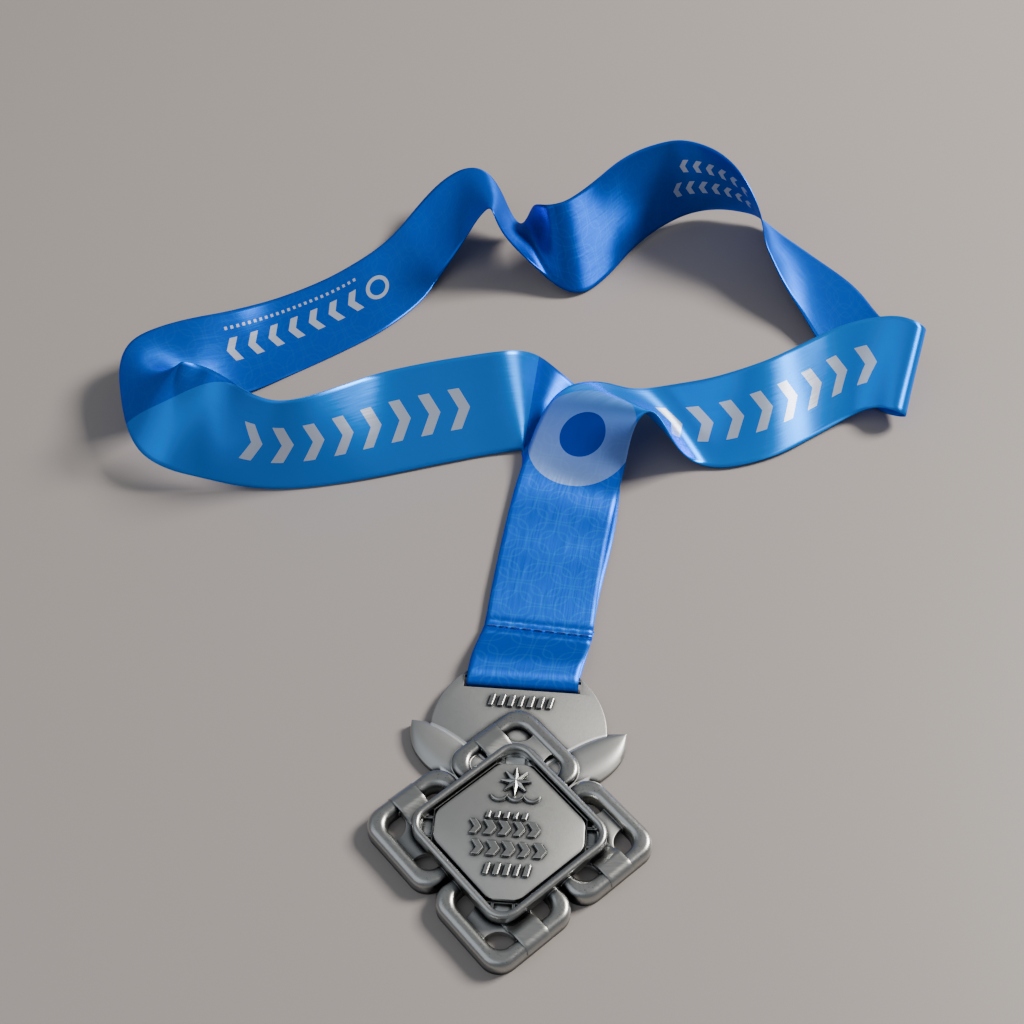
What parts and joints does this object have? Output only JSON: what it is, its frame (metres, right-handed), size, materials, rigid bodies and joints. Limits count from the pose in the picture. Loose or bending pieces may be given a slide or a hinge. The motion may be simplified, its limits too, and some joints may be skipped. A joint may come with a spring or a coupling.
{
  "type": "finisher medal",
  "caption": "Cast metal finisher medal of overlapping rounded-square links on a round hanger disc, with a printed satin neck ribbon sewn round the slot bar.",
  "frame": {"origin": "on the table, under the middle of the box round the medal and its laid-out ribbon", "axes": "+Z leaves the medal's face, +Y points from the medal's centre to the ribbon slot, +X to the right when the face is looked at"},
  "size_m": [0.247, 0.2776, 0.0331],
  "materials": {
    "medal_metal": "antique silver plate, dark in the recesses and polished on the raised edges",
    "ribbon_satin": "printed polyester satin",
    "seam_thread": "matt polyester sewing thread"
  },
  "bodies": {
    "medal": {"hanger_disc": "medal_metal", "leaf_left": "medal_metal", "leaf_right": "medal_metal", "link_ring_north": "medal_metal", "link_ring_east": "medal_metal", "link_ring_south": "medal_metal", "link_ring_west": "medal_metal", "link_web_north": "medal_metal", "link_web_east": "medal_metal", "link_web_south": "medal_metal", "link_web_west": "medal_metal", "centre_tray": "medal_metal", "centre_plate": "medal_metal"},
    "ribbon": {"ribbon_return": "ribbon_satin", "ribbon_loop": "ribbon_satin", "ribbon_tail_end": "ribbon_satin", "ribbon_tail_front": "ribbon_satin", "ribbon_arch": "ribbon_satin", "ribbon_right_front": "ribbon_satin", "ribbon_right_bend": "ribbon_satin", "ribbon_right_back": "ribbon_satin", "ribbon_back_rise": "ribbon_satin", "ribbon_back_dip": "ribbon_satin", "ribbon_twist": "ribbon_satin", "ribbon_left_back": "ribbon_satin", "ribbon_left_bend": "ribbon_satin", "ribbon_left_front": "ribbon_satin", "ribbon_turn": "ribbon_satin", "ribbon_tail_back": "ribbon_satin", "seam_thread": "seam_thread"}
  },
  "joints": [
    {"name": "ribbon_swing", "type": "hinge", "parent": "medal", "child": "ribbon", "pos_m": [0.00761, -0.05478, 0.00215], "axis": [1, 0, 0], "range_deg": [-130, 130]}
  ]
}
